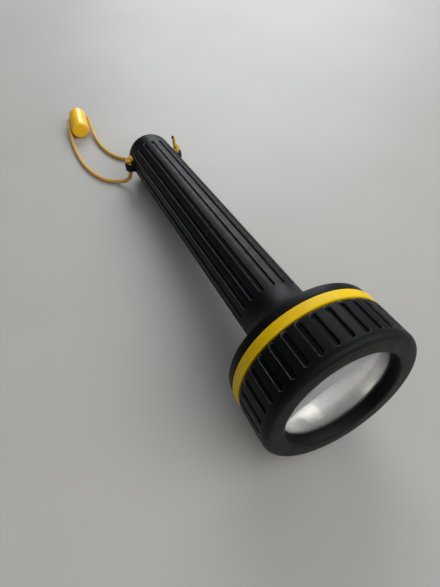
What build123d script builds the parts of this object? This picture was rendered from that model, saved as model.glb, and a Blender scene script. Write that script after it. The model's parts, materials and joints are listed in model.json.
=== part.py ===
from build123d import *
import math
import os

# Firefighter flashlight lying on its side on a surface at z = 0, in millimetres.
# +X points the way the beam goes, +Z is up. The axis of the flashlight leans a little,
# because the head is wider than the tail and both touch the surface.
# "Station" is the distance back from the front face, along the flashlight's axis.

# ---------------------------------------------------------------- driving dimensions
head_radius = 40.0          # bezel and colour band, across the lands
body_length = 262.0         # front face to tail end

# bezel
bezel_end = 23.0
bezel_back_chamfer = 0.6
lip_round = 3.2
lip_inner_radius = 30.5     # front face's inner edge
lip_bevel = 0.8
window_radius = 28.4        # clear opening in front of the lens
window_station = 4.9        # back of the lip, where the gasket seats
lens_bore_radius = 33.4
thread_radius = 34.6
thread_clearance = 0.06
thread_start = 12.4
seal_bore_radius = 35.8
seal_bore_start = 18.5
bezel_groove_count = 36
bezel_groove_width = 2.5
bezel_groove_depth = 1.5
bezel_groove_start = 4.2
bezel_groove_end = 22.2

# housing: barrel, neck and back of the head in one moulding
band_start = 23.9
band_end = 29.2
band_seat_radius = 37.6
band_edge = 0.4
flange_radius = 39.3
flange_end = 35.0
neck_radius = 18.35
neck_station = 60.0
tail_radius = 17.2
tail_station = 250.0
tail_round = 8.0
cell_bore_radius = 13.8
barrel_groove_count = 18
barrel_groove_width = 2.2
barrel_groove_depth = 1.2
barrel_groove_start = 61.5
barrel_groove_end = 243.5

# lanyard lugs
lug_station = 246.0
lug_width = 11.0
lug_thickness = 5.0
lug_reach = 23.4            # axis to the lug's outer edge
lug_root = 15.4             # axis to where the lug starts, inside the barrel's wall
lug_hole_offset = 19.9      # axis to the centre of the hole
lug_hole_radius = 2.1

# light unit
gasket_inner_radius = 29.2
gasket_outer_radius = 33.0
lens_front = 6.0
lens_thickness = 3.0
lens_radius = 33.2
lens_chamfer = 0.4
reflector_front = 9.0
reflector_mouth = 28.6
focal_length = 6.5
reflector_wall = 1.2
rim_step_radius = 30.2      # where the reflector's flat rim starts
rim_clearance = 0.2
retainer_back = 12.2
retainer_inner_radius = 30.6
collar_radius = 8.0
collar_bore_radius = 6.85
collar_end = 43.0
bulb_seat = 40.4            # front of the bulb's flange
switch_plate_station = 44.0
contact_ring_station = 45.4
contact_thickness = 0.6

# cells and their contacts
cell_count = 4
cell_radius = 13.1
cell_length = 49.2
first_cell_station = 51.0
tail_plate_station = 257.4
cavity_end = 258.0

# lanyard
cord_diameter = 3.0
knot_radius = 3.4
lock_near = (-203.5, -39.2)  # end of the cord lock that faces the flashlight
lock_angle = 171.5           # direction of the lock's axis on the surface, degrees
lock_radius = 7.5
lock_length = 29.0
lock_bore_radius = 5.3
plunger_radius = 5.2
plunger_travel = 3.0
lock_hole_station = 24.5
strand_offset = 9.2          # lock's axis to the cord beside it

# ---------------------------------------------------------------- pose of the axis
# The colour band's back edge and the rounded tail both rest on z = 0.
band_contact = (band_end - band_edge, head_radius - band_edge)
tail_contact_point = (body_length - tail_round, tail_radius - tail_round)
span = tail_contact_point[0] - band_contact[0]
drop = band_contact[1] - tail_contact_point[1]
lean = math.atan2(drop, span) + math.asin((band_edge - tail_round) / math.hypot(span, drop))
axis_height = band_contact[0] * math.sin(lean) + band_contact[1] * math.cos(lean) + band_edge
front_reach = lip_round - lip_round * math.cos(lean) + (head_radius - lip_round) * math.sin(lean)
rear_reach = (
    tail_contact_point[0] * math.cos(lean) + tail_contact_point[1] * math.sin(lean) + tail_round
)
front_centre = Vector((rear_reach - front_reach) / 2, 0, axis_height)
backward = Vector(-math.cos(lean), 0, -math.sin(lean))

# In PROFILE, local x is the station and local y is the radius.
PROFILE = Plane(origin=front_centre, x_dir=backward, z_dir=(0, 1, 0))
AXIS = Axis(front_centre, backward)


def across(station, angle=0):
    """Plane across the axis at a station; its local x starts at +Y and turns by the angle."""
    turned = Vector(0, 1, 0).rotate(Axis((0, 0, 0), backward), angle)
    return Plane(origin=front_centre + backward * station, x_dir=turned, z_dir=backward)


def tangent(station, radius, angle, slope=0):
    """Plane that touches a cone of this radius; local x runs back along the axis."""
    section = across(station, angle)
    outward = section.x_dir * math.cos(slope) + backward * math.sin(slope)
    along = backward * math.cos(slope) - section.x_dir * math.sin(slope)
    return Plane(origin=section.origin + section.x_dir * radius, x_dir=along, z_dir=outward)


def cone_radius(station):
    """Outer radius of the tapered barrel between the neck and the tail."""
    share = (station - neck_station) / (tail_station - neck_station)
    return neck_radius + (tail_radius - neck_radius) * share


def washer(front, back, inner, outer):
    """Closed ring about the flashlight's axis."""
    with BuildPart() as ring:
        with BuildSketch(PROFILE):
            with Locations(((front + back) / 2, (inner + outer) / 2)):
                Rectangle(back - front, outer - inner)
        revolve(axis=AXIS)
    return ring


def coil(front, back, radius, wire, turns, plane):
    """Compression spring between two stations of a plane, with wire of this diameter."""
    height = back - front - wire
    start = plane.offset(front + wire / 2)
    with BuildPart() as spring:
        with BuildLine():
            path = Helix(height / turns, height, radius, center=start.origin, direction=start.z_dir)
        with BuildSketch(Plane(origin=path @ 0, z_dir=path % 0)):
            Circle(wire / 2)
        sweep(path=path, is_frenet=True)
    return spring


def save(built, name):
    """Label a finished piece and write it as its own STEP file."""
    built.part.label = name
    export_step(built.part, f"parts/{name}.step")


os.makedirs("parts", exist_ok=True)

# ---------------------------------------------------------------- bezel
groove_slope = math.atan2(neck_radius - tail_radius, tail_station - neck_station)
bezel_groove_length = bezel_groove_end - bezel_groove_start
bezel_groove_middle = (bezel_groove_start + bezel_groove_end) / 2
groove_start_height = 0.6    # the cut starts this far outside the surface

with BuildPart() as bezel:
    with BuildSketch(PROFILE):
        with BuildLine():
            Polyline(
                (lip_round, head_radius),
                (bezel_end - bezel_back_chamfer, head_radius),
                (bezel_end, head_radius - bezel_back_chamfer),
                (bezel_end, seal_bore_radius),
                (seal_bore_start, seal_bore_radius),
                (seal_bore_start, thread_radius + thread_clearance),
                (thread_start, thread_radius + thread_clearance),
                (thread_start, lens_bore_radius),
                (window_station, lens_bore_radius),
                (window_station, window_radius),
                (lip_bevel, lip_inner_radius - lip_bevel),
                (0, lip_inner_radius),
                (0, head_radius - lip_round),
            )
            RadiusArc((0, head_radius - lip_round), (lip_round, head_radius), lip_round)
        make_face()
    revolve(axis=AXIS)
    grooves = [
        tangent(bezel_groove_middle, head_radius + groove_start_height, 360 * k / bezel_groove_count)
        for k in range(bezel_groove_count)
    ]
    with BuildSketch(*grooves):
        SlotOverall(bezel_groove_length, bezel_groove_width)
    extrude(amount=-(bezel_groove_depth + groove_start_height), mode=Mode.SUBTRACT)
save(bezel, "bezel")

gasket = washer(window_station, lens_front, gasket_inner_radius, gasket_outer_radius)
save(gasket, "lens_gasket")

with BuildPart() as lens:
    with BuildSketch(across(lens_front)):
        Circle(lens_radius)
    extrude(amount=lens_thickness)
    chamfer(lens.edges().filter_by(GeomType.CIRCLE), lens_chamfer)
save(lens, "lens")

# ---------------------------------------------------------------- reflector and its ring
vertex = reflector_front + reflector_mouth**2 / (4 * focal_length)
bulb_hole_radius = 5.9
back_shift = reflector_wall * 1.3    # wall thickness, measured along the axis
mouth_wall = reflector_wall / 2      # wall thickness at the mouth, measured outwards


def parabola(outer, inner, shift):
    """Arc of the mirror's parabola between two radii, shifted back along the axis."""
    corner = (vertex + shift - outer * inner / (4 * focal_length), (outer + inner) / 2)
    rim = (vertex + shift - outer**2 / (4 * focal_length), outer)
    throat = (vertex + shift - inner**2 / (4 * focal_length), inner)
    return Bezier(rim, corner, throat)


with BuildPart() as reflector:
    with BuildSketch(PROFILE):
        with BuildLine():
            mirror = parabola(reflector_mouth, bulb_hole_radius, 0)
            outside = parabola(reflector_mouth + mouth_wall, collar_radius, back_shift)
            Polyline(
                mirror @ 1,
                (bulb_seat, bulb_hole_radius),
                (bulb_seat, collar_bore_radius),
                (collar_end, collar_bore_radius),
                (collar_end, collar_radius),
                outside @ 1,
            )
            Polyline(
                outside @ 0,
                (reflector_front + reflector_wall, rim_step_radius),
                (reflector_front + reflector_wall, lens_radius - rim_clearance),
                (reflector_front, lens_radius - rim_clearance),
                mirror @ 0,
            )
        make_face()
    revolve(axis=AXIS)
save(reflector, "reflector")

retainer_front = reflector_front + reflector_wall
retainer = washer(retainer_front, retainer_back, retainer_inner_radius, lens_bore_radius)
save(retainer, "reflector_retainer")

# ---------------------------------------------------------------- bulb and its holder
bulb_flange = 1.0
bulb_flange_radius = 6.75
bulb_base_radius = 4.7
bulb_tip = first_cell_station - 0.05
tip_root = (bulb_tip - 1.6, bulb_base_radius)
tip_neck = (bulb_tip - 0.8, 1.8)
tip_end = (bulb_tip, 1.0)
glass_radius = 5.2
glass_wall = 0.5
glass_tip = 25.5
with BuildPart() as bulb_base:
    with BuildSketch(PROFILE):
        with BuildLine():
            Polyline(
                (bulb_seat, 0),
                (bulb_seat, bulb_flange_radius),
                (bulb_seat + bulb_flange, bulb_flange_radius),
                (bulb_seat + bulb_flange, bulb_base_radius),
                tip_root,
                tip_neck,
                tip_end,
                (bulb_tip, 0),
                close=True,
            )
        make_face()
    revolve(axis=AXIS)
save(bulb_base, "bulb_base")

with BuildPart() as bulb_glass:
    with BuildSketch(PROFILE):
        with BuildLine():
            outer_wall = Line((bulb_seat, glass_radius), (glass_tip + glass_radius, glass_radius))
            outer_dome = RadiusArc(outer_wall @ 1, (glass_tip, 0), -glass_radius)
            Line(outer_dome @ 1, (glass_tip + glass_wall, 0))
            inner_dome = RadiusArc(
                (glass_tip + glass_wall, 0),
                (glass_tip + glass_radius, glass_radius - glass_wall),
                glass_radius - glass_wall,
            )
            Line(inner_dome @ 1, (bulb_seat, glass_radius - glass_wall))
            Line((bulb_seat, glass_radius - glass_wall), outer_wall @ 0)
        make_face()
    revolve(axis=AXIS)
save(bulb_glass, "bulb_glass")

filament_station = vertex - focal_length
post_offset = 1.7
post_radius = 0.3
filament_radius = 0.4
with BuildPart() as filament:
    with BuildSketch(across(bulb_seat)):
        with Locations((post_offset, 0), (-post_offset, 0)):
            Circle(post_radius)
    extrude(amount=-(bulb_seat - filament_station + filament_radius))
    crossbar = Plane(
        origin=front_centre + backward * filament_station + Vector(0, -post_offset, 0),
        x_dir=backward,
        z_dir=(0, 1, 0),
    )
    with BuildSketch(crossbar):
        Circle(filament_radius)
    extrude(amount=2 * post_offset)
save(filament, "filament")

holder_front = 39.8
holder_inner_radius = collar_radius + 0.1
holder_outer_radius = 10.2
with BuildPart() as bulb_holder:
    with BuildSketch(PROFILE):
        with BuildLine():
            Polyline(
                (holder_front, holder_inner_radius),
                (holder_front, holder_outer_radius),
                (switch_plate_station, holder_outer_radius),
                (switch_plate_station, holder_inner_radius),
                close=True,
            )
        make_face()
    revolve(axis=AXIS)
save(bulb_holder, "bulb_holder")

bulb_spring = coil(
    bulb_seat + bulb_flange,
    switch_plate_station,
    radius=6.0,
    wire=0.7,
    turns=2.5,
    plane=across(0),
)
save(bulb_spring, "bulb_spring")

switch_plate_hole = 5.1
switch_plate_radius = 16.2
switch_plate = washer(
    switch_plate_station,
    switch_plate_station + contact_thickness,
    switch_plate_hole,
    switch_plate_radius,
)
save(switch_plate, "switch_plate")

# ---------------------------------------------------------------- housing
shelf_station = contact_ring_station + contact_thickness
shelf_radius = 18.0
o_ring_wire_radius = 0.96
o_ring_gap = 0.04            # between the ring and the bottom of its groove
o_ring_groove_width = 2.2
o_ring_station = 21.6
o_ring_seat_radius = 33.8
keyway_width = 6.0
keyway_radius = 14.6
spigot_front = 13.3
spigot_bore_radius = 31.8
spigot_chamfer = 0.5
seal_land_start = 19.7
seal_land_radius = seal_bore_radius - 0.1
o_ring_groove_front = o_ring_station - o_ring_groove_width / 2
o_ring_groove_back = o_ring_station + o_ring_groove_width / 2
flange_round = 1.6
flare_start = (47.0, 21.6)
flare_pull = (50.5, 18.6)
cavity_cone_front = 30.5
cavity_cone_back = 43.0

with BuildPart() as barrel:
    with BuildSketch(PROFILE):
        with BuildLine():
            Polyline(
                (spigot_front, spigot_bore_radius),
                (spigot_front, thread_radius - spigot_chamfer),
                (spigot_front + spigot_chamfer, thread_radius),
                (seal_land_start, thread_radius),
                (seal_land_start, seal_land_radius),
                (o_ring_groove_front, seal_land_radius),
                (o_ring_groove_front, o_ring_seat_radius),
                (o_ring_groove_back, o_ring_seat_radius),
                (o_ring_groove_back, seal_land_radius),
                (band_start, seal_land_radius),
                (band_start, band_seat_radius),
                (band_end, band_seat_radius),
                (band_end, flange_radius),
                (flange_end - flange_round, flange_radius),
            )
            flange_corner = RadiusArc(
                (flange_end - flange_round, flange_radius),
                (flange_end, flange_radius - flange_round),
                flange_round,
            )
            Line(flange_corner @ 1, flare_start)
            flare = Bezier(flare_start, flare_pull, (neck_station, neck_radius))
            Line(flare @ 1, (tail_station, tail_radius))
            Line((tail_station, tail_radius), (body_length - tail_round, tail_radius))
            tail_corner = RadiusArc(
                (body_length - tail_round, tail_radius),
                (body_length, tail_radius - tail_round),
                tail_round,
            )
            Polyline(
                tail_corner @ 1,
                (body_length, 0),
                (cavity_end, 0),
                (cavity_end, cell_bore_radius),
                (shelf_station, cell_bore_radius),
                (shelf_station, shelf_radius),
                (cavity_cone_back, shelf_radius),
                (cavity_cone_front, spigot_bore_radius),
                (spigot_front, spigot_bore_radius),
            )
        make_face()
    revolve(axis=AXIS)

    groove_middle = (barrel_groove_start + barrel_groove_end) / 2
    grooves = [
        tangent(
            groove_middle,
            cone_radius(groove_middle) + groove_start_height,
            90 + 360 * k / barrel_groove_count,
            groove_slope,
        )
        for k in range(barrel_groove_count)
    ]
    with BuildSketch(*grooves):
        SlotOverall(barrel_groove_end - barrel_groove_start, barrel_groove_width)
    extrude(amount=-(barrel_groove_depth + groove_start_height), mode=Mode.SUBTRACT)

    lug_plane = Plane(
        origin=front_centre + backward * lug_station,
        x_dir=backward,
        z_dir=across(0).y_dir,
    )
    with BuildSketch(lug_plane.offset(-lug_thickness / 2)):
        for side in (1, -1):
            with Locations((0, side * (lug_reach - lug_width / 2))):
                Circle(lug_width / 2)
            with Locations((0, side * (lug_reach - lug_width / 2 + lug_root) / 2)):
                Rectangle(lug_width, lug_reach - lug_width / 2 - lug_root)
    extrude(amount=lug_thickness)
    with BuildSketch(lug_plane.offset(-lug_thickness)):
        with Locations((0, lug_hole_offset), (0, -lug_hole_offset)):
            Circle(lug_hole_radius)
    extrude(amount=2 * lug_thickness, mode=Mode.SUBTRACT)

    with BuildSketch(across(shelf_station)):
        Circle(cell_bore_radius)
        with Locations((keyway_radius / 2, 0)):
            Rectangle(keyway_radius, keyway_width)
    extrude(amount=cavity_end - shelf_station, mode=Mode.SUBTRACT)
save(barrel, "barrel")

with BuildPart() as colour_band:
    with BuildSketch(PROFILE):
        with Locations(((band_start + band_end) / 2, (band_seat_radius + head_radius) / 2)):
            Rectangle(band_end - band_start, head_radius - band_seat_radius)
    revolve(axis=AXIS)
    rims = colour_band.edges().filter_by(GeomType.CIRCLE).sort_by(SortBy.RADIUS)[-2:]
    fillet(rims, band_edge)
save(colour_band, "colour_band")

with BuildPart() as bezel_o_ring:
    with BuildSketch(PROFILE):
        with Locations((o_ring_station, o_ring_seat_radius + o_ring_gap + o_ring_wire_radius)):
            Circle(o_ring_wire_radius)
    revolve(axis=AXIS)
save(bezel_o_ring, "bezel_o_ring")

contact_ring_hole = 14.0
contact_ring = washer(contact_ring_station, shelf_station, contact_ring_hole, shelf_radius)
save(contact_ring, "contact_ring")

# ---------------------------------------------------------------- cells and their contacts
cap_radius = 3.2
cap_height = 1.6
shoulder = 0.8
base_chamfer = 0.6
for number in range(cell_count):
    front = first_cell_station + number * cell_length
    back = front + cell_length
    with BuildPart() as cell:
        with BuildSketch(PROFILE):
            with BuildLine():
                Polyline(
                    (front, 0),
                    (front, cap_radius),
                    (front + cap_height, cap_radius),
                    (front + cap_height, cell_radius - shoulder),
                    (front + cap_height + shoulder, cell_radius),
                    (back - base_chamfer, cell_radius),
                    (back, cell_radius - base_chamfer),
                    (back, 0),
                    close=True,
                )
            make_face()
        revolve(axis=AXIS)
    save(cell, f"cell_{number + 1}")

tail_plate_radius = 13.4
strip_width = keyway_width - 1
strip_thickness = 0.5
strip_offset = (cell_bore_radius + keyway_radius) / 2
tab_reach = keyway_radius - 0.2
with BuildPart() as tail_plate:
    with BuildSketch(across(tail_plate_station)):
        Circle(tail_plate_radius)
        with Locations((tab_reach / 2, 0)):
            Rectangle(tab_reach, strip_width)
    extrude(amount=contact_thickness)
save(tail_plate, "tail_plate")

with BuildPart() as contact_strip:
    with BuildSketch(across(shelf_station)):
        with Locations((strip_offset, 0)):
            Rectangle(strip_thickness, strip_width)
    extrude(amount=tail_plate_station - shelf_station)
save(contact_strip, "contact_strip")

last_cell_end = first_cell_station + cell_count * cell_length
tail_spring = coil(
    last_cell_end,
    tail_plate_station,
    radius=8.5,
    wire=1.2,
    turns=3.5,
    plane=across(0),
)
save(tail_spring, "tail_spring")

# ---------------------------------------------------------------- cord lock
lock_origin = Vector(lock_near[0], lock_near[1], lock_radius)
lock_dir = Vector(math.cos(math.radians(lock_angle)), math.sin(math.radians(lock_angle)), 0)
lock_side = Vector(lock_dir.Y, -lock_dir.X, 0)
LOCK = Plane(origin=lock_origin, x_dir=lock_side, z_dir=lock_dir)
lock_floor = 5.0             # thickness of the closed end
lock_edge_round = 0.8
plunger_start = 13.0
plunger_end = lock_length + 5.0
slot_clearance = 0.3
slot_start = lock_hole_station - cord_diameter / 2 - slot_clearance
slot_end = lock_hole_station + cord_diameter / 2 + plunger_travel + slot_clearance
slot_width = cord_diameter + 1
cord_hole_radius = 2.1
side_reach = 20.0            # from the lock's axis to where a side cut starts


def side_hole(station):
    """Plane through the lock's axis that faces sideways, for the cord's hole."""
    return Plane(
        origin=lock_origin + lock_dir * station - lock_side * side_reach,
        x_dir=lock_dir,
        z_dir=lock_side,
    )


with BuildPart() as lock_barrel:
    with BuildSketch(LOCK):
        Circle(lock_radius)
    extrude(amount=lock_length)
    fillet(lock_barrel.edges().filter_by(GeomType.CIRCLE), lock_edge_round)
    with BuildSketch(LOCK.offset(lock_floor)):
        Circle(lock_bore_radius)
    extrude(amount=lock_length, mode=Mode.SUBTRACT)
    with BuildSketch(side_hole(lock_hole_station)):
        Circle(cord_hole_radius)
    extrude(amount=2 * side_reach, mode=Mode.SUBTRACT)
save(lock_barrel, "lock_barrel")

with BuildPart() as lock_plunger:
    with BuildSketch(LOCK.offset(plunger_start)):
        Circle(plunger_radius)
    extrude(amount=plunger_end - plunger_start)
    fillet(lock_plunger.edges().group_by(Axis(lock_origin, lock_dir))[-1], lock_edge_round)
    with BuildSketch(side_hole((slot_start + slot_end) / 2)):
        SlotOverall(slot_end - slot_start, slot_width)
    extrude(amount=2 * side_reach, mode=Mode.SUBTRACT)
save(lock_plunger, "lock_plunger")

lock_spring = coil(lock_floor, plunger_start, radius=4.0, wire=0.7, turns=5, plane=LOCK)
save(lock_spring, "lock_spring")

# ---------------------------------------------------------------- lanyard
lug_gap = 0.02               # between a lug and the knot on it
drop_depth = 7.0             # how far under the lugs the cord hangs clear of them
floor_gap = 0.05             # between the surface and the cord lying on it
lug_up = lug_plane.z_dir * -1
lug_top = lug_plane.origin + lug_up * (lug_thickness / 2 + lug_gap)
lug_drop = lug_plane.origin - lug_up * drop_depth
cord_level = cord_diameter / 2 + floor_gap
hole_centre = lock_origin + lock_dir * lock_hole_station
left_turn = hole_centre - lock_side * strand_offset
right_turn = hole_centre + lock_side * strand_offset
route = [
    (lug_top.X, -lug_hole_offset, lug_top.Z),
    (lug_drop.X, -lug_hole_offset, lug_drop.Z),
    (-117.8, -23.6, 4.4),
    (-123.8, -30.0, cord_level),
    (-130.0, -38.6, cord_level),
    (-142.0, -45.2, cord_level),
    (-160.0, -49.4, cord_level),
    (-185.0, -50.2, cord_level),
    (-206.0, -48.4, 3.0),
    (-219.6, -46.2, 6.4),
    tuple(left_turn),
    tuple(right_turn),
    (-217.4, -27.6, 6.4),
    (-204.0, -28.6, 3.0),
    (-186.0, -28.4, cord_level),
    (-169.5, -25.6, cord_level),
    (-156.5, -19.6, cord_level),
    (-148.0, -9.6, cord_level),
    (-145.6, 4.0, cord_level),
    (-140.6, 16.6, cord_level),
    (-131.6, 24.6, cord_level),
    (-120.0, 24.6, 4.2),
    (lug_drop.X, lug_hole_offset, lug_drop.Z),
    (lug_top.X, lug_hole_offset, lug_top.Z),
]
fold_corners = (10, 11)      # the cord turns sharply into and out of the lock's hole
points = [Vector(*place) for place in route]
radii = []
for k in range(1, len(points) - 1):
    before = points[k] - points[k - 1]
    after = points[k + 1] - points[k]
    shorter = min(before.length, after.length)
    turn = math.radians(before.get_angle(after))
    largest = 0.45 * shorter / math.tan(turn / 2)
    radii.append(cord_diameter if k in fold_corners else largest)
print("lanyard bend radii, mm:", [round(radius, 1) for radius in radii])

with BuildPart() as lanyard_cord:
    with BuildLine():
        lanyard_path = FilletPolyline(*points, radius=radii)
    with BuildSketch(Plane(origin=points[0], z_dir=points[1] - points[0])):
        Circle(cord_diameter / 2)
    sweep(path=lanyard_path)
cord_section = math.pi * cord_diameter**2 / 4
print("lanyard length, mm:", round(lanyard_path.length, 1))
print("volume over section x length:", lanyard_cord.part.volume / cord_section / lanyard_path.length)
save(lanyard_cord, "lanyard_cord")

knot_centre = knot_radius - 0.6    # above the knot's flat underside
knot_foot = 1.8                    # radius of that underside
stem_length = 6.0
stem_end = knot_centre + stem_length
curl_end = (2.6, stem_end + 3.6)
for name, side in (("left_knot", -1), ("right_knot", 1)):
    foot = lug_top + Vector(0, side * lug_hole_offset, 0)
    with BuildPart() as knot:
        with BuildSketch(Plane(origin=foot, x_dir=(0, 1, 0), z_dir=backward * -1)):
            with BuildLine():
                Line((0, 0), (0, knot_centre + knot_radius))
                RadiusArc((0, knot_centre + knot_radius), (knot_radius, knot_centre), knot_radius)
                RadiusArc((knot_radius, knot_centre), (knot_foot, 0), knot_radius)
                Line((knot_foot, 0), (0, 0))
            make_face()
        revolve(axis=Axis(foot, lug_up))
        with BuildLine(Plane(origin=foot, x_dir=(0, -1, 0), z_dir=backward)):
            stem = Line((0, knot_centre), (0, stem_end))
            curl = TangentArc(stem @ 1, curl_end, tangent=(0, 1))
        with BuildSketch(Plane(origin=foot + lug_up * knot_centre, z_dir=lug_up)):
            Circle(cord_diameter / 2)
        sweep(path=Wire([stem.edge(), curl.edge()]))
    save(knot, name)
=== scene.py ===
import json
import math

import bmesh
import bpy
import numpy as np
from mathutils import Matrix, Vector


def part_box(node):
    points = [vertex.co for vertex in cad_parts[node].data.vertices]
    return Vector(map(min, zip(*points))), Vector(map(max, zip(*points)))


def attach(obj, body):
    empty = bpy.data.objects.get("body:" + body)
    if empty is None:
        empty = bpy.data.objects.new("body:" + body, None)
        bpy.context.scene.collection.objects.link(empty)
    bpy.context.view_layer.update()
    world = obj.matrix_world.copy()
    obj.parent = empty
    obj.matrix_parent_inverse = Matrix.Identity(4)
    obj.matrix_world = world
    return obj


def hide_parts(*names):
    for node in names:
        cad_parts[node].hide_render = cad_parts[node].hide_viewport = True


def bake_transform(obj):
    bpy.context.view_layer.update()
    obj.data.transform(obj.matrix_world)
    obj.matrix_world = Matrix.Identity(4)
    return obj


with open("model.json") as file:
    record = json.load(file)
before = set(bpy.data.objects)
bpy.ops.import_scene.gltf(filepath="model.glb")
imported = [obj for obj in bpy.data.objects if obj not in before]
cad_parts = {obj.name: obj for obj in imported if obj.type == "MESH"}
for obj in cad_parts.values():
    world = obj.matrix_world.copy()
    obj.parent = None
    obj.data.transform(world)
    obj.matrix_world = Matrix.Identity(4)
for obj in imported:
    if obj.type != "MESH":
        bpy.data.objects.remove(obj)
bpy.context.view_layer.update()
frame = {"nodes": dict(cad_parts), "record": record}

# Lengths along and out from the flashlight's axis are in millimetres, and "station" is
# the distance back from the front face. Everything given to Blender is in metres.
MM = 0.001
TURN = 2 * math.pi
MERGE = 2e-6                 # metres within which two points of a mesh are one

joints = {joint["name"]: joint for joint in frame["record"]["behaviour"]["joints"]}
FRONT = Vector(joints["bezel_twist"]["pos_m"])
BACK = -Vector(joints["bezel_twist"]["axis"]).normalized()
SIDE = Vector((0, 1, 0))
DOWN = BACK.cross(SIDE)


# ---------------------------------------------------------------- mesh building
def shape(name, points, faces, sharp=40, slot=None, body=None, replaces=()):
    """New object from a mesh; edges over the sharp angle, in degrees, stay crisp."""
    mesh = bpy.data.meshes.new(name)
    mesh.from_pydata([tuple(p) for p in points], [], faces)
    mesh.update()
    work = bmesh.new()
    work.from_mesh(mesh)
    bmesh.ops.remove_doubles(work, verts=work.verts, dist=MERGE)
    bmesh.ops.recalc_face_normals(work, faces=work.faces)
    work.to_mesh(mesh)
    work.free()
    mesh.polygons.foreach_set("use_smooth", [True] * len(mesh.polygons))
    mesh.set_sharp_from_angle(angle=math.radians(sharp))
    made = bpy.data.objects.new(name, mesh)
    bpy.context.scene.collection.objects.link(made)
    if body:
        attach(made, body)
    if replaces:
        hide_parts(*replaces)
    return made


def grid_faces(rows, columns, wrap_rows, wrap_columns):
    """Quads over a grid of rows and columns of points."""
    faces = []
    for i in range(rows if wrap_rows else rows - 1):
        for j in range(columns if wrap_columns else columns - 1):
            k = (i + 1) % rows
            n = (j + 1) % columns
            faces.append((i * columns + j, i * columns + n, k * columns + n, k * columns + j))
    return faces


def lathe_mesh(profile, angles, cut=None, closed=True):
    """Points and faces of a turned shape. The profile is (station, radius) with an optional
    third value, 1 where the cut applies; cut(stations, angles) gives depths in mm."""
    stations = np.array([row[0] for row in profile])[:, None]
    radii = np.array([row[1] for row in profile])[:, None] * np.ones(len(angles))[None, :]
    if cut is not None:
        cuts = np.array([row[2] if len(row) > 2 else 0.0 for row in profile])[:, None]
        radii = radii - cuts * cut(stations, angles[None, :])
    out = (
        np.cos(angles)[:, None] * np.array(SIDE)[None, :]
        + np.sin(angles)[:, None] * np.array(DOWN)[None, :]
    )
    points = (
        np.array(FRONT)[None, None, :]
        + stations[:, :, None] * MM * np.array(BACK)[None, None, :]
        + radii[:, :, None] * MM * out[None, :, :]
    )
    faces = grid_faces(len(profile), len(angles), closed, True)
    return points.reshape(-1, 3), faces


def lathe(name, profile, count=96, **how):
    """Turned piece with evenly spaced columns."""
    points, faces = lathe_mesh(profile, np.arange(count) * TURN / count)
    return shape(name, points, faces, **how)


def arc(centre, radius, start, end, steps, *more):
    """Points of a profile's rounded corner; angles in degrees, 90 points outwards."""
    turns = [math.radians(start + (end - start) * k / steps) for k in range(steps + 1)]
    return [
        (centre[0] - radius * math.cos(t), centre[1] + radius * math.sin(t), *more) for t in turns
    ]


def dense(start, end, step, *more):
    """Profile rows along a straight run, each (station, radius), at about this step in mm."""
    count = max(1, round(math.dist(start, end) / step))
    return [
        (
            start[0] + (end[0] - start[0]) * k / count,
            start[1] + (end[1] - start[1]) * k / count,
            *more,
        )
        for k in range(count + 1)
    ]


def groove_columns(count, first, radius, offsets):
    """Angles of the columns, placed at these offsets in mm from every groove's middle."""
    sides = sorted({-x for x in offsets} | set(offsets))
    middles = [first + TURN * k / count for k in range(count)]
    return np.array([m + x / radius for m in middles for x in sides[:-1]])


def groove_cut(count, first, radius, start, end, width, depth, shoulder):
    """Depth of rounded-end grooves with soft shoulders."""
    pitch = TURN / count
    half = width / 2

    def cut(stations, angles):
        across = np.abs((angles - first + pitch / 2) % pitch - pitch / 2) * radius
        past = np.maximum(np.maximum(start + half - stations, stations - end + half), 0)
        edge = half - np.hypot(across, past)
        share = np.clip((edge + shoulder) / (2 * shoulder), 0, 1)
        return depth * share * share * (3 - 2 * share)

    return cut


HIGHLIGHT_PEAK = 0.1              # share of a groove's depth at which the painted highlight on its corner is strongest
HIGHLIGHT_WIDTH = 0.16            # how far from that share the painted highlight fades out
UNCUT = 0.0005               # a smaller share is the plain surface between grooves


def mark_edges(made, cut, depth, first, last, inner):
    """Gives a fluted piece the attribute that places the painted highlight on its groove corners: 1 at a
    groove's upper corner, and 0 elsewhere, past the first and last station and inside the inner radius."""
    places = np.empty(len(made.data.vertices) * 3)
    made.data.vertices.foreach_get("co", places)
    out = (places.reshape(-1, 3) - np.array(FRONT)) / MM
    stations = out @ np.array(BACK)
    radii = np.hypot(out @ np.array(DOWN), out @ np.array(SIDE))
    angles = np.arctan2(out @ np.array(DOWN), out @ np.array(SIDE))
    share = cut(stations, angles) / depth
    corner = np.clip(1 - np.abs(share - HIGHLIGHT_PEAK) / HIGHLIGHT_WIDTH, 0, 1)
    corner *= (stations > first) & (stations < last) & (radii > inner) & (share > UNCUT)
    layer = made.data.attributes.new("edge_highlight", "FLOAT", "POINT")
    layer.data.foreach_set("value", corner)


# ---------------------------------------------------------------- materials
def material(name):
    """New node material: its tree, its shader and its object coordinates."""
    made = bpy.data.materials.new(name)
    made.use_nodes = True
    tree = made.node_tree
    shader = tree.nodes["Principled BSDF"]
    coords = tree.nodes.new("ShaderNodeTexCoord").outputs["Object"]
    return made, tree, shader, coords


def noise_value(tree, coords, scale, detail=3.0, roughness=0.55):
    """Noise between about 0 and 1, of this scale in cycles per metre."""
    node = tree.nodes.new("ShaderNodeTexNoise")
    node.inputs["Scale"].default_value = scale
    node.inputs["Detail"].default_value = detail
    node.inputs["Roughness"].default_value = roughness
    tree.links.new(coords, node.inputs["Vector"])
    return node.outputs["Fac"]


def mapped(tree, value, low, high, to_low=0, to_high=1):
    """A value's range, mapped to another and held inside it."""
    node = tree.nodes.new("ShaderNodeMapRange")
    ranges = {"From Min": low, "From Max": high, "To Min": to_low, "To Max": to_high}
    for key, number in ranges.items():
        node.inputs[key].default_value = number
    tree.links.new(value, node.inputs["Value"])
    return node.outputs["Result"]


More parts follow.
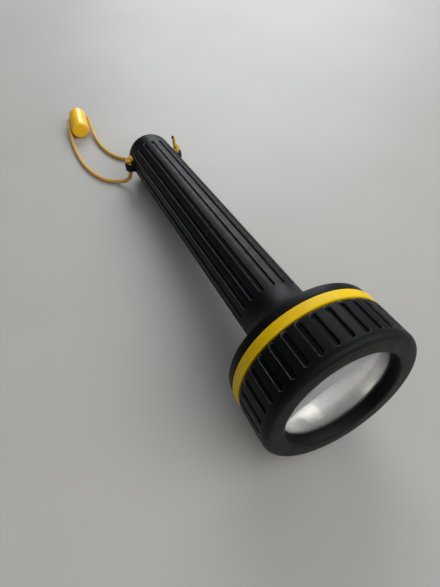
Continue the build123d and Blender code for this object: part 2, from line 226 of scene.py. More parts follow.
def product(tree, first, second):
    """Two values multiplied."""
    node = tree.nodes.new("ShaderNodeMath")
    node.operation = "MULTIPLY"
    tree.links.new(first, node.inputs[0])
    tree.links.new(second, node.inputs[1])
    return node.outputs["Value"]


def vector_math(tree, operation, first, second=None, output="Vector"):
    """A vector operation between a socket and, where it takes one, a fixed vector."""
    node = tree.nodes.new("ShaderNodeVectorMath")
    node.operation = operation
    tree.links.new(first, node.inputs[0])
    if second is not None:
        node.inputs[1].default_value = second
    return node.outputs[output]


def attribute_value(tree, name):
    """The value of the mesh's attribute of this name."""
    node = tree.nodes.new("ShaderNodeAttribute")
    node.attribute_name = name
    return node.outputs["Fac"]


def mixed(tree, share, first, second):
    """Mix of two colours, either of which may be a socket."""
    node = tree.nodes.new("ShaderNodeMix")
    node.data_type = "RGBA"
    tree.links.new(share, node.inputs["Factor"])
    for key, colour in (("A", first), ("B", second)):
        socket = next(s for s in node.inputs if s.name == key and s.type == "RGBA")
        if isinstance(colour, bpy.types.NodeSocket):
            tree.links.new(colour, socket)
        else:
            socket.default_value = (*colour, 1.0)
    return next(s for s in node.outputs if s.type == "RGBA")


def bump(tree, shader, height, strength, depth):
    """Bump of this depth in metres."""
    node = tree.nodes.new("ShaderNodeBump")
    node.inputs["Strength"].default_value = strength
    node.inputs["Distance"].default_value = depth
    tree.links.new(height, node.inputs["Height"])
    tree.links.new(node.outputs["Normal"], shader.inputs["Normal"])


def plastic(name, dark, light, rough, grain, scuff=0.0, worn=None, specular=0.5, edge=None):
    """Moulded plastic: colour that drifts a little, fine grain, and pale scuffs on top. An edge colour,
    a painted highlight along the groove corners, is mixed in where the mesh's corner attribute is high,
    in a slightly broken line."""
    made, tree, shader, coords = material(name)
    drift = mapped(tree, noise_value(tree, coords, scale=38), 0.35, 0.65)
    colour = mixed(tree, drift, dark, light)
    fine = noise_value(tree, coords, scale=2600, detail=2)
    if worn is not None:
        smear = noise_value(tree, coords, scale=210, detail=6, roughness=0.7)
        marks = mapped(tree, smear, 0.66 - scuff, 0.74 - scuff / 2)
        patch = mapped(tree, noise_value(tree, coords, scale=22), 0.5, 0.68, 0, 0.8)
        colour = mixed(tree, product(tree, marks, patch), colour, worn)
    # Painted highlight: a light colour on the groove corners stands in for the light that they catch.
    if edge is not None:
        highlight_breaks = noise_value(tree, coords, scale=330, detail=4, roughness=0.65)
        broken_highlight = mapped(tree, highlight_breaks, 0.34, 0.56, 0.25, 1)
        painted_highlight = product(tree, attribute_value(tree, "edge_highlight"), broken_highlight)
        colour = mixed(tree, painted_highlight, colour, edge)
    tree.links.new(colour, shader.inputs["Base Color"])
    cloud = noise_value(tree, coords, scale=120, detail=4)
    tree.links.new(mapped(tree, cloud, 0.3, 0.7, rough - 0.05, rough + 0.07), shader.inputs["Roughness"])
    shader.inputs["Specular IOR Level"].default_value = specular
    bump(tree, shader, fine, strength=grain, depth=0.00012)
    return made


def metal(name, colour, tint, rough):
    """Bare metal with light smudges and fine scratches in its roughness."""
    made, tree, shader, coords = material(name)
    drift = mapped(tree, noise_value(tree, coords, scale=90, detail=4), 0.3, 0.7)
    tree.links.new(mixed(tree, drift, colour, tint), shader.inputs["Base Color"])
    shader.inputs["Metallic"].default_value = 1.0
    scratches = noise_value(tree, coords, scale=900)
    spread = mapped(tree, scratches, 0.3, 0.7, rough * 0.7, rough * 1.4)
    tree.links.new(spread, shader.inputs["Roughness"])
    grain = noise_value(tree, coords, scale=1800, detail=2)
    bump(tree, shader, grain, strength=0.15, depth=0.00005)
    return made


def clear(name, tint, rough, passing=1.0):
    """Clear glass or plastic with faint smudges; a used lens passes a little less, as haze."""
    made, tree, shader, coords = material(name)
    drift = mapped(tree, noise_value(tree, coords, scale=60, detail=4), 0.4, 0.6)
    tree.links.new(mixed(tree, drift, tint, (1, 1, 1)), shader.inputs["Base Color"])
    shader.inputs["Transmission Weight"].default_value = passing
    shader.inputs["IOR"].default_value = 1.46
    smudge = noise_value(tree, coords, scale=75, detail=5)
    tree.links.new(mapped(tree, smudge, 0.5, 0.8, rough, rough + 0.05), shader.inputs["Roughness"])
    return made


def paint(material_made, *objects):
    """Gives each object this one material."""
    for target in objects:
        target.data.materials.clear()
        target.data.materials.append(material_made)


# The black plastic's pale edge colour is a painted highlight along its groove corners.
black = plastic(
    "black_plastic", dark=(0.0022, 0.0025, 0.0028), light=(0.0042, 0.0046, 0.0051), rough=0.40,
    grain=0.5, worn=(0.030, 0.031, 0.031), specular=0.11, edge=(0.17, 0.18, 0.19))
yellow = plastic(
    "yellow_plastic", dark=(0.68, 0.43, 0.001), light=(0.78, 0.51, 0.003), rough=0.45,
    grain=0.35, scuff=0.02, worn=(0.42, 0.30, 0.04), specular=0.2)
bright_yellow = plastic(
    "lock_plastic", dark=(0.76, 0.42, 0.003), light=(0.86, 0.50, 0.006), rough=0.28, grain=0.2)
rubber = plastic(
    "rubber_black", dark=(0.008, 0.008, 0.008), light=(0.013, 0.013, 0.013), rough=0.62, grain=0.8)
ivory = plastic(
    "inner_plastic", dark=(0.62, 0.60, 0.53), light=(0.72, 0.70, 0.64), rough=0.45, grain=0.3)
can = plastic(
    "cell_sleeve", dark=(0.09, 0.10, 0.115), light=(0.12, 0.13, 0.15), rough=0.30, grain=0.2)
brass = metal("brass", colour=(0.72, 0.52, 0.22), tint=(0.80, 0.62, 0.32), rough=0.28)
steel = metal("steel_wire", colour=(0.58, 0.57, 0.55), tint=(0.68, 0.67, 0.65), rough=0.24)
glass = clear("clear_lens", tint=(0.97, 0.985, 0.98), rough=0.015, passing=0.85)
envelope = clear("bulb_envelope", tint=(0.985, 0.985, 0.975), rough=0.0)

# ---------------------------------------------------------------- bezel
HEAD = 40.0                  # the head's outer radius
BEZEL_END = 23.0             # station of the bezel's back edge
LIP_ROUND = 3.2              # radius of the lip's front corner
WINDOW = 28.6                # radius of the opening in the lip
SEAT = 4.9                   # station where the gasket sits
SEAT_BORE = 33.4             # bore around the gasket, lens and reflector
THREAD_START = 12.4
THREAD_BORE = 34.66
SKIRT_START = 18.5
SKIRT_BORE = 35.8
BEZEL_GROOVES = 36
BEZEL_GROOVE_DEPTH = 1.5

bezel_cut = groove_cut(BEZEL_GROOVES, first=0, radius=HEAD, start=4.2, end=22.2, width=2.5,
                       depth=BEZEL_GROOVE_DEPTH, shoulder=0.34)
bezel_offsets = [0, 0.5, 0.8, 0.98, 1.12, 1.26, 1.4, 1.6, 1.95, 2.6, 3.49]
bezel_profile = (
    [(0.0, 31.2), (0.0, 34.0)]
    + arc((LIP_ROUND, HEAD - LIP_ROUND), LIP_ROUND, 0, 90, 10, 1)
    + dense((3.4, HEAD), (6.6, HEAD), 0.18, 1)
    + dense((7.2, HEAD), (19.4, HEAD), 2.4, 1)
    + dense((19.9, HEAD), (22.3, HEAD), 0.18, 1)
    + [(22.45, 39.94), (22.7, 39.76), (22.93, 39.5), (BEZEL_END, 39.2)]
    + [(BEZEL_END, SKIRT_BORE + 0.1), (BEZEL_END - 0.1, SKIRT_BORE), (SKIRT_START, SKIRT_BORE)]
    + [(SKIRT_START, THREAD_BORE), (THREAD_START, THREAD_BORE), (THREAD_START, SEAT_BORE)]
    + [(SEAT, SEAT_BORE), (SEAT, WINDOW)]
    + [(4.8, 28.42), (4.55, 28.45), (2.6, 29.1), (0.9, 29.75), (0.45, 30.0), (0.15, 30.4)]
)
columns = groove_columns(BEZEL_GROOVES, 0, HEAD, bezel_offsets)
points, faces = lathe_mesh(bezel_profile, columns, bezel_cut)
bezel = shape("bezel_shell", points, faces, 55, "moulded_black", "bezel_unit", ["bezel"])
mark_edges(bezel, bezel_cut, BEZEL_GROOVE_DEPTH, first=3.0, last=BEZEL_END, inner=HEAD - 2)
paint(black, bezel)

# ---------------------------------------------------------------- yellow band
BAND_START = 23.9
BAND_END = 29.2
BAND_BORE = 37.6
BAND_ROUND = 0.5             # radius of its corners
BAND_CORNER = 39.45          # axis to the middle of a corner's round

band_profile = (
    [(BAND_START, BAND_BORE), (BAND_START, BAND_CORNER)]
    + arc((BAND_START + BAND_ROUND, BAND_CORNER), BAND_ROUND, 0, 90, 5)
    + [(25.4, HEAD), (27.7, HEAD)]
    + arc((BAND_END - BAND_ROUND, BAND_CORNER), BAND_ROUND, 90, 180, 5)
    + [(BAND_END, BAND_BORE)]
)
band = lathe("band_ring", band_profile, 180, slot="band_yellow", body="housing",
             replaces=["colour_band"])
paint(yellow, band)

# ---------------------------------------------------------------- barrel
NECK = (60.0, 18.35)         # station and radius where the flare meets the taper
TAIL = (250.0, 17.2)         # and where the taper meets the tail's dome
BARREL_END = 262.0
DOME_ROUND = 8.0             # radius of the tail's rounded edge
CELL_BORE = 13.8
CAVITY_START = 46.0
CAVITY_END = 258.0
SHOULDER = 34.6              # outer radius of the threaded spigot
STEP = 35.7                  # and of the spigot's wider rings
FLANGE = 39.3
BARREL_GROOVES = 18
BARREL_GROOVE_DEPTH = 1.2
FLUTE_RADIUS = 17.8          # the grooves' widths are laid off at this radius
FIRST_FLUTE = math.radians(90)
FLARE = ((47.0, 21.6), (50.5, 18.6), NECK)    # a quadratic curve's three places

barrel_offsets = [0, 0.45, 0.7, 0.86, 0.98, 1.1, 1.22, 1.36, 1.55, 1.85, 2.4, 3.07]
barrel_cut = groove_cut(BARREL_GROOVES, FIRST_FLUTE, FLUTE_RADIUS, start=61.5, end=243.5,
                        width=2.2, depth=BARREL_GROOVE_DEPTH, shoulder=0.3)


def taper(station):
    """Barrel's radius between the neck and the tail."""
    return NECK[1] + (TAIL[1] - NECK[1]) * (station - NECK[0]) / (TAIL[0] - NECK[0])


def run(start, end, step):
    """Rows of the tapered barrel."""
    return dense((start, taper(start)), (end, taper(end)), step, 1)


def inside_curve(places, count):
    """Points along a quadratic curve, with its two ends left out."""
    made = []
    for k in range(1, count):
        t = k / count
        shares = ((1 - t) ** 2, 2 * t * (1 - t), t * t)
        made.append(tuple(sum(s * p[axis] for s, p in zip(shares, places)) for axis in (0, 1)))
    return made


barrel_profile = (
    [(13.3, 31.8), (13.3, 34.1), (13.8, SHOULDER), (19.7, SHOULDER), (19.7, STEP), (20.5, STEP)]
    + [(20.5, 33.8), (22.7, 33.8), (22.7, STEP), (BAND_START, STEP)]
    + [(BAND_START, BAND_BORE - 0.05), (BAND_END, BAND_BORE - 0.05)]
    + [(BAND_END, 38.9), (29.45, 39.22), (29.8, FLANGE), (31.6, FLANGE), (33.4, FLANGE)]
    + arc((33.4, 37.7), 1.6, 101.46, 170.21, 6)
    + dense((35.2, 37.3), (46.3, 22.5), 1.8)
    + [(46.7, 22.0)]
    + inside_curve(FLARE, 15)
    + run(60.0, 61.2, 0.3)
    + run(61.35, 63.9, 0.15)
    + run(65.5, 240.5, 7.0)
    + run(241.2, 243.7, 0.15)
    + run(244.4, 250.0, 1.4)
    + arc((BARREL_END - DOME_ROUND, 9.2), DOME_ROUND, 90, 180, 12)
    + [(BARREL_END, 5.0), (BARREL_END, 0.0), (CAVITY_END, 0.0), (CAVITY_END, CELL_BORE)]
    + [(CAVITY_START, CELL_BORE), (CAVITY_START, 18.0), (43.0, 18.0), (30.5, 31.8)]
)
columns = groove_columns(BARREL_GROOVES, FIRST_FLUTE, FLUTE_RADIUS, barrel_offsets)
points, faces = lathe_mesh(barrel_profile, columns, barrel_cut)
barrel = shape("barrel_shell", points, faces, 50, "moulded_black", "housing", ["barrel"])
mark_edges(barrel, barrel_cut, BARREL_GROOVE_DEPTH, first=NECK[0], last=245.0, inner=TAIL[1] - 1.6)
paint(black, barrel)

# ---------------------------------------------------------------- lanyard lugs
LUG_STATION = 246.0
LUG_HOLE = 19.9              # axis to the hole's middle
LUG_HOLE_RADIUS = 2.1
LUG_ROUND = 5.5              # radius of the outer end
LUG_ROUND_OUT = 17.9         # axis to that end's middle
LUG_ROOT = 14.2              # axis to the root, inside the barrel's wall
LUG_LONGEST = 12             # no part of the outline is further from the hole
LUG_STEP = 0.02              # step of the search for the outline


def lug_edge(turn):
    """Distance from the lug's hole to its outline, in mm."""
    x, y = math.cos(turn), math.sin(turn)
    reach = 0.0
    while reach < LUG_LONGEST:
        reach += LUG_STEP
        along, out = x * reach, LUG_HOLE + y * reach
        spread = max(0.0, 19.0 - out)
        wide = LUG_ROUND + 0.16 * spread * spread
        in_round = math.hypot(along, out - LUG_ROUND_OUT) < LUG_ROUND
        in_stem = out < LUG_ROUND_OUT and abs(along) < wide
        if out < LUG_ROOT or not (in_stem or in_round):
            break
    return reach


def lug_mesh(side):
    """One rounded lug with its hole."""
    turns = [TURN * k / 72 for k in range(72)]
    edges = [lug_edge(t) for t in turns]
    # Share of the way from the hole to the edge, and height over the lug's middle, in mm.
    upper = [(0.0, 2.1), (0.12, 2.38), (0.4, 2.5), (0.55, 2.5), (0.88, 2.5), (0.96, 2.35), (1.0, 2.0)]
    section = upper + [(share, -high) for share, high in reversed(upper)]
    made = []
    for share, high in section:
        for turn, edge in zip(turns, edges):
            reach = LUG_HOLE_RADIUS + (edge - LUG_HOLE_RADIUS) * share
            along, out = math.cos(turn) * reach, LUG_HOLE + math.sin(turn) * reach
            thicker = max(0.0, 18.6 - out)
            rise = high * (1 + 0.05 * thicker * thicker)
            place = BACK * (LUG_STATION + along) + SIDE * side * out - DOWN * rise
            made.append(FRONT + place * MM)
    return made, grid_faces(len(section), len(turns), True, True)


lugs = []
for side in (1, -1):
    points, faces = lug_mesh(side)
    lugs.append(shape("lug_left" if side > 0 else "lug_right", points, faces, 50,
                      "moulded_black", "housing", ["barrel"]))
paint(black, *lugs)

# ---------------------------------------------------------------- lens, reflector and bulb
LENS_FRONT = 6.0
LENS_BACK = 9.0
LENS_RADIUS = 33.2
LENS_BEVEL = 0.4             # the rounded corner starts this far in

lens_profile = [
    (LENS_FRONT, 0.0), (LENS_FRONT, LENS_RADIUS - LENS_BEVEL), (6.12, 33.08),
    (LENS_FRONT + LENS_BEVEL, LENS_RADIUS), (LENS_BACK - LENS_BEVEL, LENS_RADIUS), (8.88, 33.08),
    (LENS_BACK, LENS_RADIUS - LENS_BEVEL), (LENS_BACK, 0.0),
]
lens = lathe("lens_disc", lens_profile, 144, slot="clear_lens", body="bezel_unit",
             replaces=["lens"])
paint(glass, lens)

FOCAL = 6.5
MOUTH = 28.6
THROAT = 5.9
VERTEX = LENS_BACK + MOUTH**2 / (4 * FOCAL)
DISH_WALL = 1.56             # measured along the axis
RIM_RADIUS = 33.0
RIM_BACK = 10.2
COLLAR_START = 40.4
COLLAR_END = 43.0
COLLAR_BORE = 6.85
COLLAR_RADIUS = 8.0


def parabola(radii, offset):
    """Profile rows of the mirror's curve, moved back by this many mm."""
    return [(VERTEX + offset - r * r / (4 * FOCAL), r) for r in radii]


reflector_profile = (
    [(RIM_BACK, RIM_RADIUS), (LENS_BACK, RIM_RADIUS), (LENS_BACK, 29.4), (9.1, 28.9)]
    + parabola(np.linspace(MOUTH, THROAT, 40), 0)
    + [(COLLAR_START, THROAT), (COLLAR_START, COLLAR_BORE)]
    + [(COLLAR_END, COLLAR_BORE), (COLLAR_END, COLLAR_RADIUS)]
    + parabola(np.linspace(COLLAR_RADIUS, 29.2, 24), DISH_WALL)
    + [(RIM_BACK, 30.2)]
)
reflector = lathe("reflector_dish", reflector_profile, 192, slot="reflector_mirror",
                  body="bezel_unit", replaces=["reflector"])

mirror, tree, shader, coords = material("vacuum_metallising")
drift = mapped(tree, noise_value(tree, coords, scale=55), 0.35, 0.65)
silver = mixed(tree, drift, (0.88, 0.86, 0.82), (0.94, 0.92, 0.88))
tree.links.new(silver, shader.inputs["Base Color"])
shader.inputs["Metallic"].default_value = 1.0
haze = mapped(tree, noise_value(tree, coords, scale=130, detail=4), 0.3, 0.7, 0.13, 0.2)
tree.links.new(haze, shader.inputs["Roughness"])
# The streaks run from the bulb outwards: noise on a unit circle around the axis.
outward = vector_math(tree, "SUBTRACT", coords, FRONT)
round_axis = vector_math(tree, "NORMALIZE", vector_math(tree, "CROSS_PRODUCT", outward, BACK))
streaks = noise_value(tree, round_axis, scale=7.0, roughness=0.6)
bump(tree, shader, streaks, strength=0.22, depth=0.0016)
paint(mirror, reflector)

nodes = frame["nodes"]
paint(rubber, nodes["lens_gasket"], nodes["bezel_o_ring"])
paint(ivory, nodes["reflector_retainer"], nodes["bulb_holder"])
paint(brass, nodes["bulb_base"], nodes["switch_plate"], nodes["contact_ring"],
      nodes["contact_strip"], nodes["tail_plate"])
paint(steel, nodes["filament"], nodes["bulb_spring"])
paint(envelope, nodes["bulb_glass"])
paint(can, *[nodes[f"cell_{k}"] for k in range(1, 5)])

# ---------------------------------------------------------------- cord lock
press = joints["lock_press"]
LOCK_BACK = -Vector(press["axis"]).normalized()      # from the lock's closed end to its button
LOCK_UP = Vector((0, 0, 1))
LOCK_SIDE = LOCK_BACK.cross(LOCK_UP)
low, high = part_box("lock_barrel")
LOCK_RADIUS = 7.5
LOCK_LENGTH = 29.0
LOCK_BORE = 5.3
LOCK_FLOOR = 5.0             # station where the bore starts
LOCK_HOLE = 24.5             # station of the cord's hole
DENT_DEPTH = 1.5
DENT_REACH = 2.9             # radius of the dished rim around that hole
lock_middle = (Vector(low) + Vector(high)) / 2
LOCK_START = lock_middle - LOCK_BACK * LOCK_LENGTH / 2 * MM


def lock_spot(station, radius, angle):
    """Point in the row frame about the cord lock's own axis."""
    out = LOCK_SIDE * math.cos(angle) + LOCK_UP * math.sin(angle)
    return LOCK_START + (LOCK_BACK * station + out * radius) * MM


def lock_lathe(name, profile, count, dent=None, **how):
    """Turned piece about the lock's axis; dent(station, angle) takes mm off its radius."""
    made = []
    for station, radius in profile:
        for k in range(count):
            angle = TURN * k / count
            less = dent(station, angle) if dent else 0.0
            made.append(lock_spot(station, max(radius - less, 0.0), angle))
    return shape(name, made, grid_faces(len(profile), count, True, True), **how)


def cord_dent(station, angle):
    """Dished rim where the cord enters each side of the lock."""
    away = math.hypot(station - LOCK_HOLE, abs(math.sin(angle)) * LOCK_RADIUS)
    return DENT_DEPTH * max(0.0, 1 - away / DENT_REACH) ** 0.5


lock_profile = (
    [(0.0, 0.0), (0.0, 3.0), (0.0, 5.2), (0.1, 6.1), (0.4, 6.8), (0.9, 7.25), (1.6, 7.46)]
    + dense((2.4, LOCK_RADIUS), (20.5, LOCK_RADIUS), 3.0)
    + dense((21.2, LOCK_RADIUS), (27.6, LOCK_RADIUS), 0.35)
    + [(28.2, 7.42), (28.7, 7.15), (28.95, 6.7), (LOCK_LENGTH, 6.2), (28.9, 5.5), (28.6, LOCK_BORE)]
    + [(20.0, LOCK_BORE), (LOCK_FLOOR, LOCK_BORE), (LOCK_FLOOR, 0.0)]
)
lock_shell = lock_lathe("lock_shell", lock_profile, 96, cord_dent, sharp=50, slot="lock_yellow",
                        body="housing", replaces=["lock_barrel"])
paint(bright_yellow, lock_shell, nodes["lock_plunger"])

# ---------------------------------------------------------------- lanyard
LOCK_LEAD = 9.2              # the cord's places beside the lock are this far from its axis
lug_middle = FRONT + BACK * LUG_STATION * MM
lug_top = lug_middle - DOWN * 2.52 * MM
lug_drop = lug_middle + DOWN * 7.0 * MM
lug_side = LUG_HOLE * MM
hole_middle = LOCK_START + LOCK_BACK * LOCK_HOLE * MM
left_turn, right_turn = sorted(
    (hole_middle - LOCK_SIDE * LOCK_LEAD * MM, hole_middle + LOCK_SIDE * LOCK_LEAD * MM),
    key=lambda place: place.y,
)
floor_level = 0.00155        # height of the cord's middle where it lies on the floor
route = [
    (lug_top.x, -lug_side, lug_top.z),
    (lug_drop.x, -lug_side, lug_drop.z),
    (-0.1178, -0.0236, 0.0044),
    (-0.1238, -0.0300, floor_level),
    (-0.1300, -0.0386, floor_level),
    (-0.1420, -0.0452, floor_level),
    (-0.1600, -0.0494, floor_level),
    (-0.1850, -0.0502, floor_level),
    (-0.2060, -0.0484, 0.0030),
    (-0.2196, -0.0462, 0.0064),
    tuple(left_turn),
    tuple(right_turn),
    (-0.2174, -0.0276, 0.0064),
    (-0.2040, -0.0286, 0.0030),
    (-0.1860, -0.0284, floor_level),
    (-0.1695, -0.0256, floor_level),
    (-0.1565, -0.0196, floor_level),
    (-0.1480, -0.0096, floor_level),
    (-0.1456, 0.0040, floor_level),
    (-0.1406, 0.0166, floor_level),
    (-0.1316, 0.0246, floor_level),
    (-0.1200, 0.0246, 0.0042),
    (lug_drop.x, lug_side, lug_drop.z),
    (lug_top.x, lug_side, lug_top.z),
]


def smooth_line(name, places, resolution):
    """Points along the NURBS curve that has these places as its control points."""
    data = bpy.data.curves.new(name, "CURVE")
    data.dimensions = "3D"
    data.resolution_u = resolution
    spline = data.splines.new("NURBS")
    spline.points.add(len(places) - 1)
    for point, place in zip(spline.points, places):
        point.co = (*place, 1.0)
    spline.order_u = 3
    spline.use_endpoint_u = True
    holder = bpy.data.objects.new(name, data)
    bpy.context.scene.collection.objects.link(holder)
    line = bpy.data.meshes.new_from_object(holder)
    points = [Vector(v.co) for v in line.vertices]
    bpy.data.objects.remove(holder)
    bpy.data.curves.remove(data)
    bpy.data.meshes.remove(line)
    return points


def resampled(line, step):
    """Points at an even step along a line."""
    lengths = [0.0]
    for a, b in zip(line, line[1:]):
        lengths.append(lengths[-1] + (b - a).length)
    count = max(2, round(lengths[-1] / step))
    places = np.interp(np.linspace(0, lengths[-1], count + 1), lengths, np.arange(len(line)))
    made = []
    for place in places:
        k = min(int(place), len(line) - 2)
        made.append(line[k].lerp(line[k + 1], place - k))
    return made, lengths[-1]


def braided(line, radius, sides, carriers, pitch, depth):
    """Tube along a line with two crossing sets of strands standing out of its surface."""
    points = []
    normal = Vector((0, 0, 1))
    along = 0.0
    for k, centre in enumerate(line):
        ahead = line[min(k + 1, len(line) - 1)] - line[max(k - 1, 0)]
        tangent = ahead.normalized()
        normal = (normal - tangent * normal.dot(tangent)).normalized()
        side = tangent.cross(normal)
        if k:
            along += (centre - line[k - 1]).length
        closed = 0.0 if k in (0, len(line) - 1) else 1.0
        for j in range(sides):
            turn = TURN * j / sides
            phase = TURN * along / pitch
            left = math.cos(carriers * (turn + phase / carriers))
            right = math.cos(carriers * (turn - phase / carriers))
            lift = max(left, right) - 0.5
            reach = closed * (radius + depth * lift)
            points.append(centre + (normal * math.cos(turn) + side * math.sin(turn)) * reach)
    return points, grid_faces(len(line), sides, False, True)


WIRE_SIDES = 14
STEPS_A_TURN = 48


def spring(name, node, origin, back, side, size):
    """Compression spring with closed end coils. Its size is two stations along back, the coil's
    and the wire's size in mm, and the turns."""
    start, end, radius, wire, turns = size
    up = back.cross(side)
    rise = (end - start - 3 * wire) / (turns - 2)
    line = []
    steps = round(turns * STEPS_A_TURN)
    for k in range(steps + 1):
        turned = turns * k / steps
        open_turns = min(max(turned - 1, 0), turns - 2)
        closed_turns = turned - open_turns
        along = start + wire / 2 + closed_turns * wire + open_turns * rise
        out = side * math.cos(TURN * turned) + up * math.sin(TURN * turned)
        line.append(origin + (back * along + out * radius) * MM)
    plain = {"carriers": 1, "pitch": 1.0, "depth": 0.0}
    made_points, made_faces = braided(line, wire / 2 * MM, WIRE_SIDES, **plain)
    made = shape(name, made_points, made_faces, 60, "spring_steel", replaces=[node])
    paint(steel, made)
    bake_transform(made)
    return made


spring("tail_coil", "tail_spring", FRONT, BACK, SIDE, (247.8, 257.4, 8.5, 1.2, 3.5))
lock_spring = spring("lock_coil", "lock_spring", LOCK_START, LOCK_BACK, LOCK_SIDE,
                     (LOCK_FLOOR, 13.0, 4.0, 0.7, 5))

CARRIERS = 8                 # strands going each way round the cord
STRAND_LIFT = 0.00006        # metres that a strand stands out
cord_line, cord_length = resampled(smooth_line("route", route, 24), 0.0004)
points, faces = braided(cord_line, 0.00147, 32, CARRIERS, pitch=0.0032, depth=STRAND_LIFT)
cord = shape("lanyard", points, faces, 180, "cord_yellow", "housing", ["lanyard_cord"])

cord_yellow, tree, shader, coords = material("braided_cord")
weave = mapped(tree, noise_value(tree, coords, scale=900), 0.3, 0.7)
fade = mapped(tree, noise_value(tree, coords, scale=40), 0.4, 0.65)
thread = mixed(tree, weave, (0.46, 0.23, 0.016), (0.68, 0.37, 0.036))
faded = mixed(tree, fade, thread, (0.54, 0.31, 0.05))
# The cord's colour turns dark brown over the last few mm of each knot's free end.
dark_tipped = mixed(tree, attribute_value(tree, "dark_tip"), faded, (0.030, 0.017, 0.009))
tree.links.new(dark_tipped, shader.inputs["Base Color"])
shader.inputs["Roughness"].default_value = 0.62
shader.inputs["Sheen Weight"].default_value = 0.35
shader.inputs["Sheen Roughness"].default_value = 0.4
bump(tree, shader, noise_value(tree, coords, scale=5200, detail=2), strength=0.5, depth=0.00006)

# A stopper knot: up through the lug, once round itself, back under its own loop and out.
knot_path = [
    (0.0, 0.0, 0.0), (0.0, 0.0, 1.4), (0.1, 0.1, 3.0), (0.5, 0.3, 4.8), (1.5, 0.2, 5.9),
    (2.6, -0.5, 5.0), (2.7, -1.4, 3.2), (1.4, -2.5, 2.0), (-0.6, -2.7, 1.7), (-2.3, -1.5, 2.0),
    (-2.6, 0.6, 2.5), (-1.4, 2.3, 3.1), (0.6, 2.5, 3.6), (1.4, 1.2, 3.8), (1.3, -0.6, 4.4),
]
KNOT_SIZE = 0.82
DARK_TIP = 1.7                   # length of the free end's tip that is coloured dark brown


def knot(name, node, side, tail, turn):
    """Stopper knot on a lug, with its free end running on through the tail's places."""
    foot = lug_top + SIDE * side * LUG_HOLE * MM
    places = []
    tied = [tuple(number * KNOT_SIZE for number in place) for place in knot_path]
    for x, y, z in tied + tail:
        a = x * math.cos(turn) - y * math.sin(turn)
        b = x * math.sin(turn) + y * math.cos(turn)
        places.append(foot + (BACK * a + SIDE * b - DOWN * z) * MM)
    line, _ = resampled(smooth_line(name, places, 12), 0.00035)
    made_points, made_faces = braided(line, 0.00122, 28, CARRIERS, pitch=0.0030, depth=STRAND_LIFT)
    made = shape(name, made_points, made_faces, 180, "cord_yellow", "housing", [node])
    layer = made.data.attributes.new("dark_tip", "FLOAT", "POINT")
    for value, vertex in zip(layer.data, made.data.vertices):
        value.value = 1.0 if (vertex.co - line[-1]).length < DARK_TIP * MM else 0.0
    return made


left_knot = knot(
    "knot_outer", "left_knot", side=-1, turn=2.2,
    tail=[(1.2, -1.9, 4.0), (0.6, -2.9, 3.9), (-0.4, -3.5, 3.6)])
right_knot = knot(
    "knot_inner", "right_knot", side=1, turn=0.4,
    tail=[(0.6, -1.2, 5.0), (0.35, -1.2, 7.2), (0.3, -1.1, 9.6), (0.2, -1.4, 11.4), (-0.1, -2.6, 12.3)])
paint(cord_yellow, cord, left_knot, right_knot)

# ---------------------------------------------------------------- floor, light and camera
FLOOR_HALF = 3.0             # metres from the middle to each edge
corners = [(x * FLOOR_HALF, y * FLOOR_HALF, 0) for x, y in ((-1, -1), (1, -1), (1, 1), (-1, 1))]
floor_mesh = bpy.data.meshes.new("floor")
floor_mesh.from_pydata(corners, [], [(0, 1, 2, 3)])
floor = bpy.data.objects.new("floor", floor_mesh)
bpy.context.scene.collection.objects.link(floor)
pale, tree, shader, coords = material("pale_floor")
tone = mapped(tree, noise_value(tree, coords, scale=6, detail=2), 0.3, 0.7)
stone = mixed(tree, tone, (0.375, 0.367, 0.345), (0.405, 0.397, 0.374))
tree.links.new(stone, shader.inputs["Base Color"])
shader.inputs["Roughness"].default_value = 0.5
shader.inputs["Specular IOR Level"].default_value = 0.3
paint(pale, floor)

# The room is bright overhead and towards BRIGHT_SIDE, and falls off smoothly all the way round.
BRIGHT_SIDE = Vector((0.50, 0.45, 0.75)).normalized()
FALLOFF = 3.0
ROOM_DIM = 0.03
ROOM_BRIGHT = 1.0

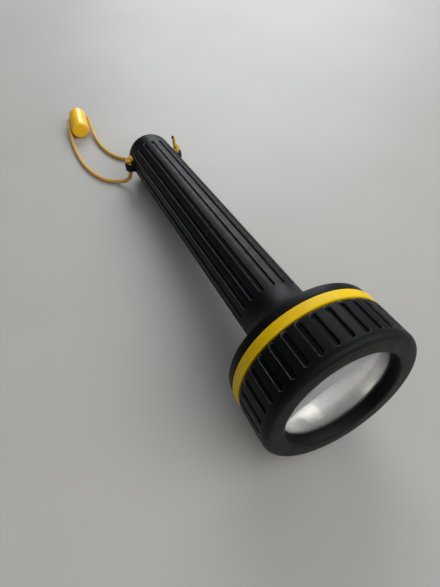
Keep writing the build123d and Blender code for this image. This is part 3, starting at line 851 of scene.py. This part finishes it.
world = bpy.data.worlds.new("soft_room")
bpy.context.scene.world = world
world.use_nodes = True
sky = world.node_tree
backdrop = sky.nodes["Background"]
backdrop.inputs["Color"].default_value = (0.95, 0.97, 1.0, 1.0)
room = sky.nodes.new("ShaderNodeTexCoord").outputs["Generated"]
facing = vector_math(sky, "DOT_PRODUCT", room, BRIGHT_SIDE, output="Value")
falloff = sky.nodes.new("ShaderNodeMath")
falloff.operation = "POWER"
falloff.inputs[1].default_value = FALLOFF
sky.links.new(mapped(sky, facing, -1, 1), falloff.inputs[0])
strength = mapped(sky, falloff.outputs["Value"], 0, 1, ROOM_DIM, ROOM_BRIGHT)
sky.links.new(strength, backdrop.inputs["Strength"])


def area(name, place, aim, width, height, power, colour):
    """Soft rectangular light."""
    data = bpy.data.lights.new(name, "AREA")
    data.shape = "RECTANGLE"
    data.size = width
    data.size_y = height
    data.energy = power
    data.color = colour
    lamp = bpy.data.objects.new(name, data)
    lamp.location = place
    lamp.rotation_euler = (Vector(aim) - Vector(place)).to_track_quat("-Z", "Y").to_euler()
    bpy.context.scene.collection.objects.link(lamp)


area("window", place=(-1.2, 0.70, 0.80), aim=(0, 0, 0), width=1.1, height=0.9, power=18,
     colour=(0.93, 0.97, 1.0))
area("front_fill", place=(1.05, 0.75, 1.0), aim=(0.05, 0.05, 0), width=2.0, height=1.4, power=16.5,
     colour=(1.0, 0.97, 0.93))

SENSOR = 24.0                # millimetres of sensor in the picture's height
FOCAL_LENGTH = 17.97179
CAMERA_PLACE = Vector((0.18241, -0.08613, 0.21971))
CAMERA_AIM = Vector((0.018254, -0.006446, 0.0))

camera_data = bpy.data.cameras.new("camera")
camera_data.sensor_fit = "VERTICAL"
camera_data.sensor_height = SENSOR
camera_data.lens = FOCAL_LENGTH
camera_data.clip_start = 0.01
camera = bpy.data.objects.new("camera", camera_data)
bpy.context.scene.collection.objects.link(camera)
camera.location = CAMERA_PLACE
camera.rotation_euler = (CAMERA_AIM - CAMERA_PLACE).to_track_quat("-Z", "Y").to_euler()
bpy.context.scene.camera = camera
bpy.context.scene.view_settings.view_transform = "Standard"
